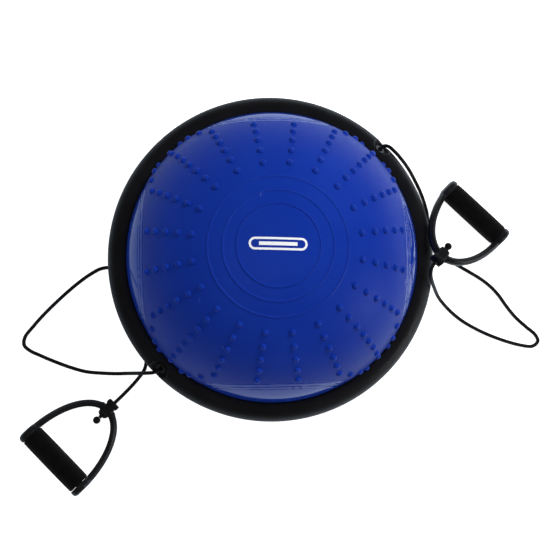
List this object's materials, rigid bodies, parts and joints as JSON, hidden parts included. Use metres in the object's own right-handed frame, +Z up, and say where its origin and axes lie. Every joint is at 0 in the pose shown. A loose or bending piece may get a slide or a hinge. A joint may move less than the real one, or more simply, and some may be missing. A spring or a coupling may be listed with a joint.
{
  "type": "balance dome trainer",
  "caption": "Half-dome balance trainer: an inflated dome clamped to a rigid platform by a rim bead, with resistance cords and D-handles.",
  "frame": {"origin": "on the dome's axis, at floor level, on the flat underside of the centre foot", "axes": "+Z up along the dome's axis; +X towards the right-hand side, where the right handle lies; the cord outlets are at 45 and 225 degrees about Z"},
  "size_m": [0.9311, 0.7066, 0.22],
  "materials": {
    "dome": "glossy soft PVC",
    "rim": "satin",
    "platform": "textured",
    "moulding": "satin moulded",
    "foam": "matt closed-cell foam",
    "cord": "satin",
    "rubber": "matt",
    "steel": "brushed"
  },
  "bodies": {
    "base": {"dome_skin": "dome", "rim_bead": "rim", "base_platform": "platform", "foot_centre": "rubber", "foot_1": "rubber", "foot_2": "rubber", "foot_3": "rubber", "foot_4": "rubber", "foot_5": "rubber", "foot_6": "rubber", "foot_7": "rubber", "foot_8": "rubber", "clamp_screw_1": "steel", "clamp_screw_2": "steel", "clamp_screw_3": "steel", "clamp_screw_4": "steel", "clamp_screw_5": "steel", "clamp_screw_6": "steel", "clamp_screw_7": "steel", "clamp_screw_8": "steel", "clamp_screw_9": "steel", "clamp_screw_10": "steel", "clamp_screw_11": "steel", "clamp_screw_12": "steel", "valve_seat": "rubber", "eyelet_left": "moulding", "inner_stop_left": "rubber", "eyelet_right": "moulding", "inner_stop_right": "rubber", "cord_left": "cord", "cord_right": "cord"},
    "air_plug": {"air_plug": "moulding"},
    "handle_left": {"yoke_left": "moulding", "ferrule_left": "moulding", "core_tube_left": "steel", "end_cap_left_a": "moulding", "end_cap_left_b": "moulding", "cord_tail_left": "cord", "stop_ball_left": "rubber"},
    "grip_left": {"grip_tube_left": "moulding", "grip_foam_left": "foam"},
    "handle_right": {"yoke_right": "moulding", "ferrule_right": "moulding", "core_tube_right": "steel", "end_cap_right_a": "moulding", "end_cap_right_b": "moulding", "cord_tail_right": "cord", "stop_ball_right": "rubber"},
    "grip_right": {"grip_tube_right": "moulding", "grip_foam_right": "foam"}
  },
  "joints": [
    {"name": "plug_pull", "type": "slide", "parent": "base", "child": "air_plug", "axis": [0, 0, -1], "range_m": [0, 0.016]},
    {"name": "swing_left", "type": "hinge", "parent": "base", "child": "handle_left", "pos_m": [-0.278, -0.256, 0.0096], "axis": [0, 0, 1], "range_deg": [-15, 35]},
    {"name": "grip_spin_left", "type": "hinge", "parent": "handle_left", "child": "grip_left", "pos_m": [-0.37699, -0.35159, 0.01999], "axis": [0.6947, -0.7193, 0], "continuous": true},
    {"name": "swing_right", "type": "hinge", "parent": "base", "child": "handle_right", "pos_m": [0.2849, -0.0113, 0.0739], "axis": [0, 0, -1], "range_deg": [0, 15]},
    {"name": "grip_spin_right", "type": "hinge", "parent": "handle_right", "child": "grip_right", "pos_m": [0.37153, 0.0816, 0.01998], "axis": [-0.7314, 0.682, 0], "continuous": true}
  ]
}
